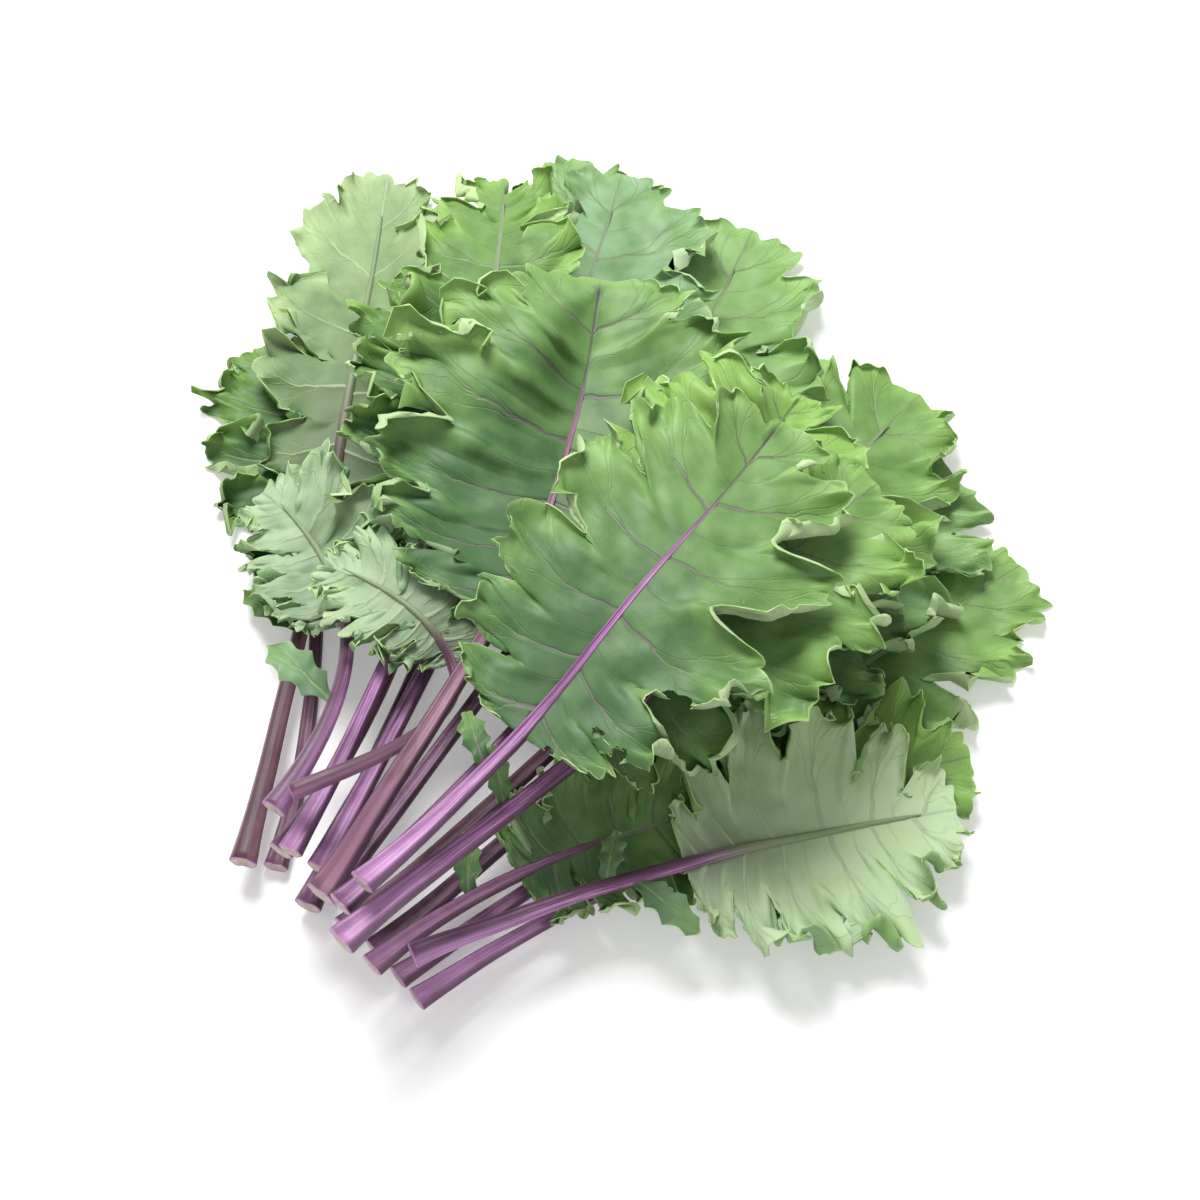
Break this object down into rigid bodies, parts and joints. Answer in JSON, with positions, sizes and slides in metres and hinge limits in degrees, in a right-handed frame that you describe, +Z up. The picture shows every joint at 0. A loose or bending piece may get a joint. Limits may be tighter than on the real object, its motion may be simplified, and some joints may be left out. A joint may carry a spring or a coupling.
{
  "type": "purple kale bunch",
  "caption": "Loose bunch of purple kale lying flat: ruffled lobed green leaves fanned out from a tight row of bare purple stems.",
  "frame": {"origin": "middle of the bunch's box in plan, at the level of the surface it lies on", "axes": "+Y from the cut stems to the leaf tips, +Z up from the surface, +X across the fan of leaves"},
  "size_m": [0.4878, 0.4448, 0.1107],
  "materials": {
    "stem_purple": "smooth, satin, slightly ridged stalk",
    "leaf_green": "soft matt upper face of a leaf with fine veins",
    "leaf_underside": "pale matt underside of a leaf with raised veins"
  },
  "bodies": {
    "root": {"leaf_01_stem": "stem_purple", "leaf_01_blade": "leaf_green", "leaf_02_stem": "stem_purple", "leaf_02_blade": "leaf_green", "leaf_03_stem": "stem_purple", "leaf_03_blade": "leaf_green", "leaf_04_stem": "stem_purple", "leaf_04_blade": "leaf_green", "leaf_05_stem": "stem_purple", "leaf_05_blade": "leaf_green", "leaf_06_stem": "stem_purple", "leaf_06_blade": "leaf_green", "leaf_07_stem": "stem_purple", "leaf_07_blade": "leaf_green", "leaf_08_stem": "stem_purple", "leaf_08_blade": "leaf_green", "leaf_09_stem": "stem_purple", "leaf_09_blade": "leaf_green", "leaf_10_stem": "stem_purple", "leaf_10_blade": "leaf_underside", "leaf_11_stem": "stem_purple", "leaf_11_blade": "leaf_underside", "leaf_12_stem": "stem_purple", "leaf_12_blade": "leaf_green", "leaf_13_stem": "stem_purple", "leaf_13_blade": "leaf_green", "leaf_14_stem": "stem_purple", "leaf_14_blade": "leaf_underside", "leaf_15_stem": "stem_purple", "leaf_15_blade": "leaf_underside", "leaf_16_stem": "stem_purple", "leaf_16_blade": "leaf_green", "leaf_17_stem": "stem_purple", "leaf_17_blade": "leaf_green", "leaf_18_stem": "stem_purple", "leaf_18_blade": "leaf_green", "leaf_19_stem": "stem_purple", "leaf_19_blade": "leaf_green"}
  },
  "joints": []
}
